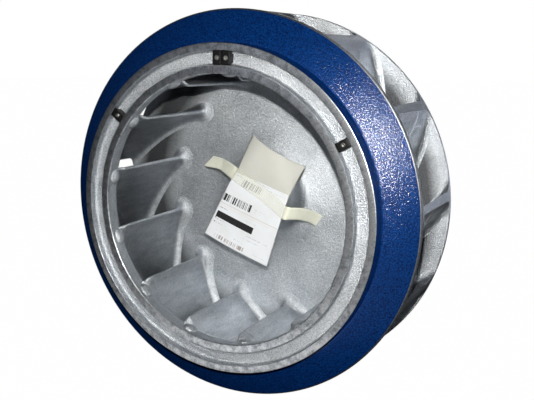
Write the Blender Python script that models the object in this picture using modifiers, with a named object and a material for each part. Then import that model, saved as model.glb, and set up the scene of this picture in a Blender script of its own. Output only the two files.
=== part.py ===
# Centrifugal fan impeller, single inlet, cast aluminium with backward curved blades.
# Every piece is modelled in the wheel's own frame, with X to the right, Y up and Z along
# the axis towards the inlet. Z is zero in the plane of the shroud's front rim. One empty
# turns that frame so that the inlet faces -Y and the wheel stands upright on its two rims.
# All lengths are in metres.

import math

import bmesh
import bpy
from mathutils import Matrix

# Whole wheel
OUTER_RADIUS = 0.250
BLADE_COUNT = 13
TURN_STEPS = 72
GAP = 0.0003

# Shroud: a sloping ring round the foot of the inlet ring
SHROUD_WALL = 0.0052
SHROUD_FOOT_HEIGHT = 0.0187
SHROUD_FOOT_RADIUS = 0.2105
SHROUD_BULGE = 0.12
SHROUD_SLOPE_POINTS = 5
RIM_CHAMFER = 0.0005

# Inlet ring: the collar round the eye, with a groove for balance weights
RING_FACE_HEIGHT = 0.0375
RING_OUTER_RADIUS = 0.2081
THROAT_RADIUS = 0.1707
GROOVE_INNER_RADIUS = 0.1809
GROOVE_OUTER_RADIUS = 0.1989
GROOVE_DEPTH = 0.0100
GROOVE_CORNER = 0.0030
LIP_HEIGHT = 0.0225
LIP_WIDTH = 0.0040
LIP_CURVE = (0.3, 0.33)

# Back plate, slightly dished, with a low mound that rises to a tall boss in its middle
PLATE_RIM_FRONT = -0.1236
PLATE_RIM_THICKNESS = 0.0062
PLATE_FLOOR = -0.1285
PLATE_FLOOR_RADIUS = 0.160
PLATE_THICKNESS = 0.0060
MOUND_RADIUS = 0.115
MOUND_TOP_RADIUS = 0.058
MOUND_RISE = 0.0085
MOUND_STEPS = 4
BOSS_FRONT = -0.0670
BOSS_FRONT_RADIUS = 0.044
BOSS_FRONT_CHAMFER = 0.0025
BOSS_FLARE = ((0.0460, 0.0210), (0.0480, 0.0140), (0.0520, 0.0100))
BOSS_BACK_RADIUS = 0.046
BOSS_BACK = -0.1540
BOSS_BACK_FOOT_RADIUS = 0.058

# Hub bush, held in the boss, with a keyed bore for the shaft
HUB_RADIUS = 0.030
HUB_FRONT = -0.0655
HUB_BACK = -0.1560
HUB_CHAMFER = 0.0010
BORE_RADIUS = 0.019
KEYWAY_WIDTH = 0.010
KEYWAY_DEPTH = 0.0033
KEYWAY_OVERRUN = 0.004
HUB_STEPS = 48

# Blades: constant angle curves of tapering thickness
BLADE_FOOT_RADIUS = 0.164
BLADE_TIP_RADIUS = 0.2493
BLADE_ANGLE = math.radians(36.0)
FIRST_BLADE_ANGLE = math.radians(136.9)
NOSE_THICKNESS_PLATE = 0.0055
NOSE_THICKNESS_SHROUD = 0.0042
TIP_THICKNESS_PLATE = 0.0079
TIP_THICKNESS_SHROUD = 0.0052
NOSE_STATIONS = ((0.0, 0.30), (0.12, 0.62), (0.4, 0.88))
BLADE_STATIONS = 10

# Balance weights, each clamped in the groove by a grub screw
WEIGHT_LENGTH = 0.0115
WEIGHT_TAPER = 0.0032
WEIGHT_FACE_DROP = 0.0002
WEIGHT_OUTER_GAP = 0.00045
SCREW_RADIUS = 0.0030
SCREW_DROP = 0.0004
SOCKET_RADIUS = 0.0017
SOCKET_DEPTH = 0.0025
SCREW_STEPS = 20
WEIGHT_ANGLES = {
    "top_left": math.radians(89.55),
    "top_right": math.radians(85.85),
    "left": math.radians(142.4),
    "right": math.radians(29.2),
}

# Document sheet, laid over the hub: left and right edge at four places down its length
SHEET_EDGES = (
    (0.00, (-0.0129, 0.0858), (0.0625, 0.0463)),
    (0.36, (-0.0285, 0.0390), (0.0485, 0.0064)),
    (0.47, (-0.0415, 0.0215), (0.0440, -0.0065)),
    (1.00, (-0.0801, -0.0537), (0.0155, -0.0924)),
)
SHEET_THICKNESS = 0.0010
SHEET_BEND = 0.36
SHEET_COLUMNS = 8
SHEET_ROWS = 14
TOP_DROOP = (0.0188, 0.0068, 0.0253)
SIDE_DROOP = 0.0020
BOTTOM_RISE = (0.0037, 0.0042, -0.0022)

# Tape: upper and lower edge of the strip as (x, y, height above the plate's floor). It
# hangs free at its left end, crosses the sheet and is stuck to the mound at its right end.
TAPE_THICKNESS = 0.0005
TAPE_EDGES = (
    ((-0.0910, 0.0500, 0.0235), (-0.1080, 0.0343, 0.0220)),
    ((-0.0760, 0.0500, 0.0320), (-0.0885, 0.0345, 0.0310)),
    ((-0.0610, 0.0487, 0.0410), (-0.0718, 0.0340, 0.0395)),
    ((-0.0440, 0.0465, 0.0545), (-0.0540, 0.0305, 0.0530)),
    ((-0.0282, 0.0420, 0.0640), (-0.0379, 0.0259, 0.0642)),
    ((-0.0150, 0.0352, 0.0652), (-0.0250, 0.0185, 0.0652)),
    ((0.0100, 0.0210, 0.0652), (0.0015, 0.0035, 0.0652)),
    ((0.0330, 0.0060, 0.0652), (0.0260, -0.0120, 0.0652)),
    ((0.0475, -0.0054, 0.0640), (0.0407, -0.0234, 0.0640)),
    ((0.0555, -0.0078, 0.0540), (0.0482, -0.0252, 0.0540)),
    ((0.0608, -0.0103, 0.0420), (0.0540, -0.0270, 0.0420)),
    ((0.0665, -0.0165, 0.0240), (0.0585, -0.0325, 0.0240)),
    ((0.0702, -0.0225, 0.0110), (0.0612, -0.0382, 0.0112)),
    ((0.0727, -0.0269, 0.0045), (0.0630, -0.0424, 0.0048)),
)


def make_material(name, color, roughness, metallic):
    material = bpy.data.materials.new(name)
    material.use_nodes = True
    shader = material.node_tree.nodes["Principled BSDF"]
    shader.inputs["Base Color"].default_value = (*color, 1.0)
    shader.inputs["Roughness"].default_value = roughness
    shader.inputs["Metallic"].default_value = metallic
    return material


def add_object(name, mesh, collection, parent, material):
    piece = bpy.data.objects.new(name, mesh)
    collection.objects.link(piece)
    piece.parent = parent
    if material:
        mesh.materials.append(material)
    return piece


def smooth(mesh):
    mesh.shade_smooth()
    mesh.set_sharp_from_angle(angle=math.radians(30.0))


def turned(name, profile, steps, collection, parent, material):
    # The profile is a closed loop of (radius, height) points, clockwise in that plane.
    # Half a step of turn puts a flat facet at the bottom, where the wheel rests.
    # Weighted normals keep the flat faces flat and the round ones smooth.
    mesh = bpy.data.meshes.new(name)
    count = len(profile)
    vertices = [(radius, 0.0, height) for radius, height in profile]
    edges = [(i, (i + 1) % count) for i in range(count)]
    mesh.from_pydata(vertices, edges, [])
    piece = add_object(name, mesh, collection, parent, material)
    piece.rotation_euler.z = math.pi / steps
    screw = piece.modifiers.new("turn", "SCREW")
    screw.axis = "Z"
    screw.angle = 2.0 * math.pi
    screw.steps = steps
    screw.render_steps = steps
    screw.use_merge_vertices = True
    screw.merge_threshold = 0.00001
    screw.use_smooth_shade = True
    piece.modifiers.new("shading", "WEIGHTED_NORMAL")
    return piece


def make_cutter(name, mesh, collection, parent):
    cutter = add_object(name, mesh, collection, parent, None)
    cutter.hide_render = True
    cutter.display_type = "WIRE"
    return cutter


def cut(piece, cutter):
    boolean = piece.modifiers.new("cut", "BOOLEAN")
    boolean.operation = "DIFFERENCE"
    boolean.solver = "EXACT"
    boolean.object = cutter


def cylinder_mesh(name, radius, bottom, top, steps):
    bm = bmesh.new()
    middle = Matrix.Translation((0.0, 0.0, (bottom + top) / 2.0))
    bmesh.ops.create_cone(bm, cap_ends=True, segments=steps, radius1=radius, radius2=radius,
                          depth=top - bottom, matrix=middle)
    mesh = bpy.data.meshes.new(name)
    bm.to_mesh(mesh)
    bm.free()
    return mesh


def box_mesh(name, low, high):
    bm = bmesh.new()
    size = [b - a for a, b in zip(low, high)]
    middle = [(a + b) / 2.0 for a, b in zip(low, high)]
    bmesh.ops.create_cube(bm, size=1.0, matrix=Matrix.Translation(middle) @ Matrix.Diagonal((*size, 1.0)))
    mesh = bpy.data.meshes.new(name)
    bm.to_mesh(mesh)
    bm.free()
    return mesh


def shroud_top(radius):
    # Height of the shroud's outer surface: a slope with a slight outward bulge.
    part = max(0.0, (radius - SHROUD_FOOT_RADIUS) / (OUTER_RADIUS - SHROUD_FOOT_RADIUS))
    return SHROUD_FOOT_HEIGHT * (1.0 - part) * (1.0 + SHROUD_BULGE * part)


def shroud_underside(radius):
    return shroud_top(radius) - SHROUD_WALL


def plate_front(radius):
    # Height of the back plate's front face: a mound, a flat floor and a rise to the rim.
    part = max(0.0, (radius - PLATE_FLOOR_RADIUS) / (OUTER_RADIUS - PLATE_FLOOR_RADIUS))
    mound = max(0.0, (MOUND_RADIUS - radius) / (MOUND_RADIUS - MOUND_TOP_RADIUS))
    return PLATE_FLOOR + (PLATE_RIM_FRONT - PLATE_FLOOR) * part + MOUND_RISE * mound ** 2


def shroud(collection, parent, material):
    bore = RING_OUTER_RADIUS + GAP
    span = OUTER_RADIUS - SHROUD_FOOT_RADIUS
    radii = [SHROUD_FOOT_RADIUS + span * i / SHROUD_SLOPE_POINTS for i in range(SHROUD_SLOPE_POINTS)]
    profile = [(bore, SHROUD_FOOT_HEIGHT)]
    profile += [(radius, shroud_top(radius)) for radius in radii]
    profile.append((OUTER_RADIUS - RIM_CHAMFER, 0.0))
    profile.append((OUTER_RADIUS, -RIM_CHAMFER))
    profile.append((OUTER_RADIUS, -SHROUD_WALL))
    profile += [(radius, shroud_underside(radius)) for radius in reversed(radii)]
    profile.append((bore, shroud_underside(bore)))
    return turned("shroud", profile, TURN_STEPS, collection, parent, material)


def inlet_ring(collection, parent, material):
    face = RING_FACE_HEIGHT
    floor = face - GROOVE_DEPTH
    foot = shroud_underside(RING_OUTER_RADIUS)
    profile = [
        (THROAT_RADIUS, face - RIM_CHAMFER),
        (THROAT_RADIUS + RIM_CHAMFER, face),
        (GROOVE_INNER_RADIUS, face),
        (GROOVE_INNER_RADIUS, floor + GROOVE_CORNER),
        (GROOVE_INNER_RADIUS + GROOVE_CORNER, floor),
        (GROOVE_OUTER_RADIUS - GROOVE_CORNER, floor),
        (GROOVE_OUTER_RADIUS, floor + GROOVE_CORNER),
        (GROOVE_OUTER_RADIUS, face),
        (RING_OUTER_RADIUS - RIM_CHAMFER, face),
        (RING_OUTER_RADIUS, face - RIM_CHAMFER),
        (RING_OUTER_RADIUS, foot),
        (THROAT_RADIUS + LIP_WIDTH, foot),
        (THROAT_RADIUS + LIP_CURVE[0] * LIP_WIDTH, foot + LIP_CURVE[1] * (LIP_HEIGHT - foot)),
        (THROAT_RADIUS, LIP_HEIGHT),
    ]
    return turned("inlet_ring", profile, TURN_STEPS, collection, parent, material)


def back_plate(collection, parent, material):
    bore = HUB_RADIUS + GAP
    rim_back = PLATE_RIM_FRONT - PLATE_RIM_THICKNESS
    floor_back = PLATE_FLOOR - PLATE_THICKNESS
    mound_step = (MOUND_RADIUS - MOUND_TOP_RADIUS) / MOUND_STEPS
    mound = [MOUND_TOP_RADIUS + mound_step * i for i in range(MOUND_STEPS + 1)]
    profile = [
        (bore, BOSS_FRONT),
        (BOSS_FRONT_RADIUS - BOSS_FRONT_CHAMFER, BOSS_FRONT),
        (BOSS_FRONT_RADIUS, BOSS_FRONT - BOSS_FRONT_CHAMFER),
        *[(radius, PLATE_FLOOR + height) for radius, height in BOSS_FLARE],
        *[(radius, plate_front(radius)) for radius in mound],
        (PLATE_FLOOR_RADIUS, PLATE_FLOOR),
        (OUTER_RADIUS - RIM_CHAMFER, PLATE_RIM_FRONT),
        (OUTER_RADIUS, PLATE_RIM_FRONT - RIM_CHAMFER),
        (OUTER_RADIUS, rim_back + RIM_CHAMFER),
        (OUTER_RADIUS - RIM_CHAMFER, rim_back),
        (PLATE_FLOOR_RADIUS, floor_back),
        (BOSS_BACK_FOOT_RADIUS, floor_back),
        (BOSS_BACK_RADIUS, BOSS_BACK),
        (bore, BOSS_BACK),
    ]
    return turned("back_plate", profile, TURN_STEPS, collection, parent, material)


def hub_bush(collection, cutters, parent, material):
    profile = [
        (BORE_RADIUS, HUB_FRONT),
        (HUB_RADIUS - HUB_CHAMFER, HUB_FRONT),
        (HUB_RADIUS, HUB_FRONT - HUB_CHAMFER),
        (HUB_RADIUS, HUB_BACK + HUB_CHAMFER),
        (HUB_RADIUS - HUB_CHAMFER, HUB_BACK),
        (BORE_RADIUS, HUB_BACK),
    ]
    bush = turned("hub_bush", profile, HUB_STEPS, collection, parent, material)
    reach = BORE_RADIUS + KEYWAY_DEPTH
    half = KEYWAY_WIDTH / 2.0
    slot = box_mesh("keyway", (-half, 0.0, HUB_BACK - KEYWAY_OVERRUN),
                    (half, reach, HUB_FRONT + KEYWAY_OVERRUN))
    keyway = make_cutter("keyway_cutter", slot, cutters, parent)
    cut(bush, keyway)
    return bush


def blade_thickness(radius, height):
    # The casting draft makes the blade thinner towards the shroud, at its nose and its tip.
    along = (radius - BLADE_FOOT_RADIUS) / (BLADE_TIP_RADIUS - BLADE_FOOT_RADIUS)
    up = (height - PLATE_FLOOR) / (SHROUD_FOOT_HEIGHT - PLATE_FLOOR)
    nose = NOSE_THICKNESS_PLATE + (NOSE_THICKNESS_SHROUD - NOSE_THICKNESS_PLATE) * up
    tip = TIP_THICKNESS_PLATE + (TIP_THICKNESS_SHROUD - TIP_THICKNESS_PLATE) * up
    return nose + (tip - nose) * along


def blade_sections():
    # Each station is a radius and the share of the full thickness that the nose has there.
    nose_length = NOSE_THICKNESS_PLATE / 2.0 * math.sin(BLADE_ANGLE)
    stations = [(BLADE_FOOT_RADIUS + nose_length * step, share) for step, share in NOSE_STATIONS]
    start = BLADE_FOOT_RADIUS + nose_length
    span = BLADE_TIP_RADIUS - start
    stations += [(start + span * i / BLADE_STATIONS, 1.0) for i in range(BLADE_STATIONS + 1)]
    return stations


def blade_mesh():
    # A loft along the blade: four corners a station, at the plate and under the shroud.
    # The camber line keeps one angle to the circle, so its turn is the log of the radius.
    bm = bmesh.new()
    rings = []
    for radius, share in blade_sections():
        turn = math.log(radius / BLADE_FOOT_RADIUS) / math.tan(BLADE_ANGLE)
        ends = (plate_front(radius) + GAP, shroud_underside(radius) - GAP)
        corners = []
        for side, height in ((-1, ends[0]), (1, ends[0]), (1, ends[1]), (-1, ends[1])):
            width = share * blade_thickness(radius, height) / math.sin(BLADE_ANGLE)
            angle = turn + side * width / (2.0 * radius)
            corners.append(bm.verts.new((radius * math.cos(angle), radius * math.sin(angle), height)))
        rings.append(corners)
    bm.faces.new(rings[0])
    for ring, following in zip(rings, rings[1:]):
        for i in range(4):
            j = (i + 1) % 4
            bm.faces.new((ring[j], ring[i], following[i], following[j]))
    bm.faces.new(reversed(rings[-1]))
    bmesh.ops.recalc_face_normals(bm, faces=bm.faces)
    mesh = bpy.data.meshes.new("blade")
    bm.to_mesh(mesh)
    bm.free()
    smooth(mesh)
    return mesh


def blades(collection, parent, material):
    mesh = blade_mesh()
    mesh.materials.append(material)
    for i in range(BLADE_COUNT):
        blade = add_object(f"blade_{i + 1:02d}", mesh, collection, parent, None)
        blade.rotation_euler.z = FIRST_BLADE_ANGLE + 2.0 * math.pi * i / BLADE_COUNT


def weight_mesh(name):
    # A block as wide as the groove at its face and narrower at its foot.
    low = RING_FACE_HEIGHT - GROOVE_DEPTH + GAP
    high = RING_FACE_HEIGHT - WEIGHT_FACE_DROP
    inner = GROOVE_INNER_RADIUS + GAP
    outer = GROOVE_OUTER_RADIUS - WEIGHT_OUTER_GAP
    half = WEIGHT_LENGTH / 2.0
    mesh = box_mesh(name, (inner, -half, low), (outer, half, high))
    middle = (inner + outer) / 2.0
    for vertex in mesh.vertices:
        if vertex.co.z < (low + high) / 2.0:
            vertex.co.x += WEIGHT_TAPER if vertex.co.x < middle else -WEIGHT_TAPER
    return mesh


def balance_weights(collection, cutters, parent, block_material, screw_material):
    middle = (GROOVE_INNER_RADIUS + GROOVE_OUTER_RADIUS) / 2.0
    floor = RING_FACE_HEIGHT - GROOVE_DEPTH
    top = RING_FACE_HEIGHT - SCREW_DROP
    for place, angle in WEIGHT_ANGLES.items():
        weight = add_object(f"balance_weight_{place}", weight_mesh("weight"), collection, parent,
                            block_material)
        weight.rotation_euler.z = angle
        at_screw = (middle * math.cos(angle), middle * math.sin(angle), 0.0)
        hole = cylinder_mesh("hole", SCREW_RADIUS + GAP, floor - GROOVE_DEPTH,
                             RING_FACE_HEIGHT + GROOVE_DEPTH, SCREW_STEPS)
        hole_cutter = make_cutter(f"screw_hole_cutter_{place}", hole, cutters, parent)
        hole_cutter.location = at_screw
        cut(weight, hole_cutter)

        body = cylinder_mesh("grub_screw", SCREW_RADIUS, floor + GAP, top, SCREW_STEPS)
        smooth(body)
        screw = add_object(f"grub_screw_{place}", body, collection, parent, screw_material)
        screw.location = at_screw
        hexagon = cylinder_mesh("socket", SOCKET_RADIUS, top - SOCKET_DEPTH, top + SOCKET_DEPTH, 6)
        socket = make_cutter(f"socket_cutter_{place}", hexagon, cutters, parent)
        socket.location = at_screw
        cut(screw, socket)


def between(start, end, share):
    return tuple(a + (b - a) * share for a, b in zip(start, end))


def blend(left_middle_right, across):
    # A parabola across the sheet through its values at the left, in the middle and at the right.
    left, middle, right = left_middle_right
    side = 2.0 * across - 1.0
    return middle + (right - left) / 2.0 * side + ((left + right) / 2.0 - middle) * side ** 2


def sheet_height(across, down):
    # Middle of the sheet's thickness. It rests on the hub's face, its top hangs down over
    # the boss, both sides sag a little by the bend, and its bottom edge curls up.
    rest = HUB_FRONT + GAP + SHEET_THICKNESS / 2.0
    above = max(0.0, 1.0 - down / SHEET_BEND)
    below = max(0.0, (down - SHEET_BEND) / (1.0 - SHEET_BEND))
    sag = SIDE_DROOP * (2.0 * across - 1.0) ** 4 * (1.0 - below) ** 2 * (1.0 - above)
    return rest - blend(TOP_DROOP, across) * above ** 3 - sag + blend(BOTTOM_RISE, across) * below ** 2


def sheet_point(across, down):
    index = 0
    while index < len(SHEET_EDGES) - 2 and down > SHEET_EDGES[index + 1][0]:
        index += 1
    start, end = SHEET_EDGES[index], SHEET_EDGES[index + 1]
    share = (down - start[0]) / (end[0] - start[0])
    left = between(start[1], end[1], share)
    right = between(start[2], end[2], share)
    return (*between(left, right, across), sheet_height(across, down))


def strip_object(name, rows, thickness, collection, parent, material):
    # An open surface through rows of points, given its thickness evenly on both sides.
    mesh = bpy.data.meshes.new(name)
    width = len(rows[0])
    vertices = [point for row in rows for point in row]
    faces = []
    for i in range(len(rows) - 1):
        for j in range(width - 1):
            start = i * width + j
            faces.append((start, start + width, start + width + 1, start + 1))
    mesh.from_pydata(vertices, [], faces)
    smooth(mesh)
    piece = add_object(name, mesh, collection, parent, material)
    solidify = piece.modifiers.new("thickness", "SOLIDIFY")
    solidify.thickness = thickness
    solidify.offset = 0.0
    return piece


def document_sheet(collection, parent, material):
    rows = []
    for i in range(SHEET_ROWS + 1):
        down = i / SHEET_ROWS
        rows.append([sheet_point(j / SHEET_COLUMNS, down) for j in range(SHEET_COLUMNS + 1)])
    return strip_object("document_sheet", rows, SHEET_THICKNESS, collection, parent, material)


def tape_strip(collection, parent, material):
    rows = [[(x, y, PLATE_FLOOR + height) for x, y, height in pair] for pair in TAPE_EDGES]
    return strip_object("tape_strip", rows, TAPE_THICKNESS, collection, parent, material)


def wheel_frame(collection):
    # The frame's origin ends up at the middle of the wheel's whole depth.
    frame = bpy.data.objects.new("wheel_frame", None)
    collection.objects.link(frame)
    frame.rotation_euler.x = math.pi / 2.0
    frame.location.y = (RING_FACE_HEIGHT + HUB_BACK) / 2.0
    return frame


def clear_scene():
    for old in list(bpy.data.objects):
        bpy.data.objects.remove(old, do_unlink=True)


def new_collection(name):
    collection = bpy.data.collections.new(name)
    bpy.context.scene.collection.children.link(collection)
    return collection


def main():
    clear_scene()
    wheel = new_collection("fan_impeller")
    cutters = new_collection("cutters")
    frame = wheel_frame(wheel)

    cast = make_material("cast_aluminium", (0.42, 0.44, 0.46), 0.45, 1.0)
    machined = make_material("machined_aluminium", (0.58, 0.59, 0.60), 0.32, 1.0)
    enamel = make_material("blue_enamel", (0.008, 0.045, 0.30), 0.30, 0.0)
    steel = make_material("turned_steel", (0.35, 0.35, 0.36), 0.38, 1.0)
    blackened = make_material("blackened_steel", (0.008, 0.008, 0.009), 0.50, 0.6)
    zinc = make_material("zinc_plated_steel", (0.62, 0.62, 0.60), 0.28, 1.0)
    paper = make_material("paper", (0.72, 0.70, 0.62), 0.80, 0.0)
    tape = make_material("masking_tape", (0.66, 0.64, 0.42), 0.60, 0.0)

    shroud(wheel, frame, enamel)
    inlet_ring(wheel, frame, machined)
    back_plate(wheel, frame, cast)
    hub_bush(wheel, cutters, frame, steel)
    blades(wheel, frame, cast)
    balance_weights(wheel, cutters, frame, blackened, zinc)
    document_sheet(wheel, frame, paper)
    tape_strip(wheel, frame, tape)
    bpy.context.view_layer.update()


main()
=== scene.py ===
# Fan impeller: the finish of a cast wheel, its enamelled shroud and the papers on its hub.
# Shapes are worked out in wheel coordinates: X to the right, Y up, and a height along the
# axis that grows towards the inlet and is zero in the plane of the shroud's front rim.
import math

import bmesh
import bpy
import numpy as np
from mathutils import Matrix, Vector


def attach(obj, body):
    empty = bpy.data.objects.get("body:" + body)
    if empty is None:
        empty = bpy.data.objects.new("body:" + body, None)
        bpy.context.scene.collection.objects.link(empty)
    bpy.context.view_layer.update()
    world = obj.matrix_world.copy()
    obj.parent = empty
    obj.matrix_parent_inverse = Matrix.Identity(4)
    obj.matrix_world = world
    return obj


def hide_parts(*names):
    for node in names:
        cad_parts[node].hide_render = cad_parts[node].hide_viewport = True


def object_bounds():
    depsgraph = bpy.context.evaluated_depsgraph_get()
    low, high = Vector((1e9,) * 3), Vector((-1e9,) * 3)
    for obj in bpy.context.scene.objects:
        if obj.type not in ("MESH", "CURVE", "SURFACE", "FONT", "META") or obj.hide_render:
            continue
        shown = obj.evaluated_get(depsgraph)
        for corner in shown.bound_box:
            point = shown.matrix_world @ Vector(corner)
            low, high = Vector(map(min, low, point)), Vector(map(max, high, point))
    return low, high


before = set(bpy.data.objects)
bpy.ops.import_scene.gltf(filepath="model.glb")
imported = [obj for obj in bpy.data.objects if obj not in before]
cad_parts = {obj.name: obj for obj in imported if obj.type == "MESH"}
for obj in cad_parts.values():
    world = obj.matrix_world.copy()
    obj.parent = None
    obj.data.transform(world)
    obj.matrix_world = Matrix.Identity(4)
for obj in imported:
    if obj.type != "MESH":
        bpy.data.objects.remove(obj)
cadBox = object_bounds()
print("frame loaded:", len(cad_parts), "nodes")

wheel = {
    "outerRadius": cadBox[1].x,        # half the CAD box, which the rims reach
    "frontPlace": cadBox[0].y,         # where the inlet ring's face lies in the frame
    "frontHeight": 0.0375,             # height of that face above the shroud's rim plane
    "turnSteps": 360,
    "blades": 13,
    "firstBlade": 136.9,               # degrees anticlockwise from +X to the foot of blade 1
}


def toFrame(x, y, height):
    # Wheel coordinates to the frame's: the axis lies along the frame's Y, front to -Y
    place = wheel["frontPlace"] + wheel["frontHeight"] - height
    return np.stack(np.broadcast_arrays(x, place, y), axis=-1)


def polarToFrame(radius, angle, height):
    # x = radius times cos(angle), y = radius times sin(angle)
    return toFrame(radius * np.cos(angle), radius * np.sin(angle), height)


def hexColour(code):
    # sRGB hex to linear light: the low end is divided by 12.92, the rest takes the 2.4 power
    channels = np.array([int(code[i:i + 2], 16) for i in (1, 3, 5)]) / 255.0
    linear = np.where(channels <= 0.04045, channels / 12.92, ((channels + 0.055) / 1.055) ** 2.4)
    return (*linear.tolist(), 1.0)


def perMetre(millimetres):
    # Texture scale that makes one feature this long
    return 1000.0 / millimetres


def addNode(tree, kind, inputs=None, stops=None, **settings):
    # Adds one node, sets its properties, ramp stops and input values, and links its inputs
    node = tree.nodes.new(kind)
    for name, value in settings.items():
        setattr(node, name, value)
    if stops:
        elements = node.color_ramp.elements
        while len(elements) < len(stops):
            elements.new(0.5)
        for element, (position, colour) in zip(elements, stops):
            element.position = position
            element.color = hexColour(colour)
    for socket, value in (inputs or {}).items():
        if isinstance(value, bpy.types.NodeSocket):
            tree.links.new(value, node.inputs[socket])
        else:
            node.inputs[socket].default_value = value
    return node


def startMaterial(name, sockets):
    # A material with its shader's constant sockets set; gives the tree and the shader too
    material = bpy.data.materials.new(name)
    material.use_nodes = True
    shader = material.node_tree.nodes["Principled BSDF"]
    for socket, value in sockets.items():
        shader.inputs[socket].default_value = value
    return material, material.node_tree, shader


def axisRadius(tree, coordinates):
    # Distance from the wheel's axis, which is the frame's Y axis
    parts = addNode(tree, "ShaderNodeSeparateXYZ", {0: coordinates})
    flat = addNode(tree, "ShaderNodeCombineXYZ", {"X": parts.outputs["X"], "Y": parts.outputs["Z"]})
    return addNode(tree, "ShaderNodeVectorMath", {0: flat.outputs[0]}, operation="LENGTH").outputs["Value"]


def ramp(tree, value, low, high, toLow=0.0, toHigh=1.0):
    # Straight-line change of a value from one range to another, held at both ends
    inputs = {"Value": value, "From Min": low, "From Max": high, "To Min": toLow, "To Max": toHigh}
    return addNode(tree, "ShaderNodeMapRange", inputs).outputs[0]


def calculate(tree, operation, *values):
    # One step of arithmetic on sockets or numbers
    return addNode(tree, "ShaderNodeMath", dict(enumerate(values)), operation=operation).outputs[0]


def noise(tree, where, size, detail, roughness=0.5):
    # Fractal noise with features of this size in mm
    return addNode(tree, "ShaderNodeTexNoise", {
        "Vector": where, "Scale": perMetre(size), "Detail": detail, "Roughness": roughness}).outputs[0]


def tones(tree, value, *stops):
    # Colours at stops along a value, blended between them
    return addNode(tree, "ShaderNodeValToRGB", {0: value}, stops=stops).outputs[0]


def mixValues(tree, share, first, second):
    inputs = {"Factor": share, 2: first, 3: second}
    return addNode(tree, "ShaderNodeMix", inputs, data_type="FLOAT").outputs[0]


def mixColours(tree, share, first, second):
    inputs = {"Factor": share, 6: first, 7: second}
    return addNode(tree, "ShaderNodeMix", inputs, data_type="RGBA").outputs[2]


def addBump(tree, shader, height, depth, *sockets):
    # Raises the surface by a height times a depth in metres
    bump = addNode(tree, "ShaderNodeBump", {"Height": height, "Distance": depth, "Strength": 1.0})
    for socket in ("Normal", *sockets):
        tree.links.new(bump.outputs[0], shader.inputs[socket])


castFinish = {
    "dark": "#a2a8af",
    "middle": "#c3c8ce",
    "light": "#dee1e5",
    "grainSize": 1.9,          # mm, the blast and sand grain, coarse enough to show
    "stainSize": 38.0,         # mm
    "grainShare": 0.62,        # how much of the tone is grain, the rest being stain
    "grainDepth": 0.00108,
    "noseDepth": 0.00108,      # the same for radii less than the first of the two below
    "noseRadii": (0.168, 0.176),
    "roughness": (0.34, 0.43),
    # Painted shade: a dark tone laid on the passages between the blades, where little light falls
    "passageShade": "#37383a",
    "passageShadeInner": (0.171, 0.197),   # radii between which the painted shade of the passages thickens
    "passageShadeOuter": (0.222, 0.240),   # and thins again towards the rim
    "passageShadeBack": (0.0695, 0.0702),  # depth in the frame, between the back plate's two faces
    "passageShadeWeight": 0.88,
    "streak": 1.0,             # how much shorter the stains are across the wheel than along its axis
}

grooveFinish = {
    **castFinish,
    "dark": "#92979d",
    "light": "#e2e4e7",
    "grainSize": 1.8,
    "grainShare": 0.8,
    "grainDepth": 0.00135,
    "noseDepth": 0.00135,
    "passageShadeWeight": 0.0,
}

bladeFinish = {
    **castFinish,
    "roughness": (0.33, 0.42),
    "grainDepth": 0.00080,
    "noseDepth": 0.00150,
    "passageShadeWeight": 0.0,
    "stainSize": 9.0,
    "streak": 4.0,
    "grainShare": 0.58,
}

filletFinish = {
    **bladeFinish,
    "roughness": (0.34, 0.43),
    "grainDepth": 0.00110,
}


def castAluminium(name, settings):
    # Sand cast, shot blasted aluminium: a granular grey skin, satin bright under the light,
    # darkened in the passages between the blades by painted shade
    material, tree, shader = startMaterial(name, {"Metallic": 1.0})
    where = addNode(tree, "ShaderNodeTexCoord").outputs["Object"]
    grain = noise(tree, where, settings["grainSize"], 4.0, 0.7)
    drawn = addNode(tree, "ShaderNodeMapping", {
        "Vector": where, "Scale": (1.0, 1.0 / settings["streak"], 1.0)}).outputs[0]
    stain = noise(tree, drawn, settings["stainSize"], 5.0, 0.62)
    mixed = mixValues(tree, settings["grainShare"], stain, grain)
    colour = tones(
        tree, mixed, (0.36, settings["dark"]), (0.5, settings["middle"]), (0.64, settings["light"]))
    radius = axisRadius(tree, where)
    # Painted shade: the passages between the blades are darkened by radius, but not the back face
    inner = ramp(tree, radius, *settings["passageShadeInner"])
    outer = ramp(tree, radius, *settings["passageShadeOuter"], settings["passageShadeWeight"], 0.0)
    band = calculate(tree, "MULTIPLY", inner, outer)
    backwards = addNode(tree, "ShaderNodeSeparateXYZ", {0: where}).outputs["Y"]
    inside = ramp(tree, backwards, *settings["passageShadeBack"], 1.0, 0.0)
    passageShade = calculate(tree, "MULTIPLY", band, inside)
    passageShaded = mixColours(tree, passageShade, colour, hexColour(settings["passageShade"]))
    low, high = settings["roughness"]
    tree.links.new(passageShaded, shader.inputs["Base Color"])
    tree.links.new(ramp(tree, grain, 0.35, 0.65, high, low), shader.inputs["Roughness"])
    depth = ramp(tree, radius, *settings["noseRadii"], settings["noseDepth"], settings["grainDepth"])
    addBump(tree, shader, grain, depth)
    return material


machinedFinish = {
    "dark": "#8f959c",
    "light": "#eef1f4",
    "ringPitch": 1.1,          # mm between turning marks, drawn coarser than real so they show
    "ringDepth": 0.00002,
    "stainSize": 9.0,          # mm
    "roughness": (0.27, 0.42),
}


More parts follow.
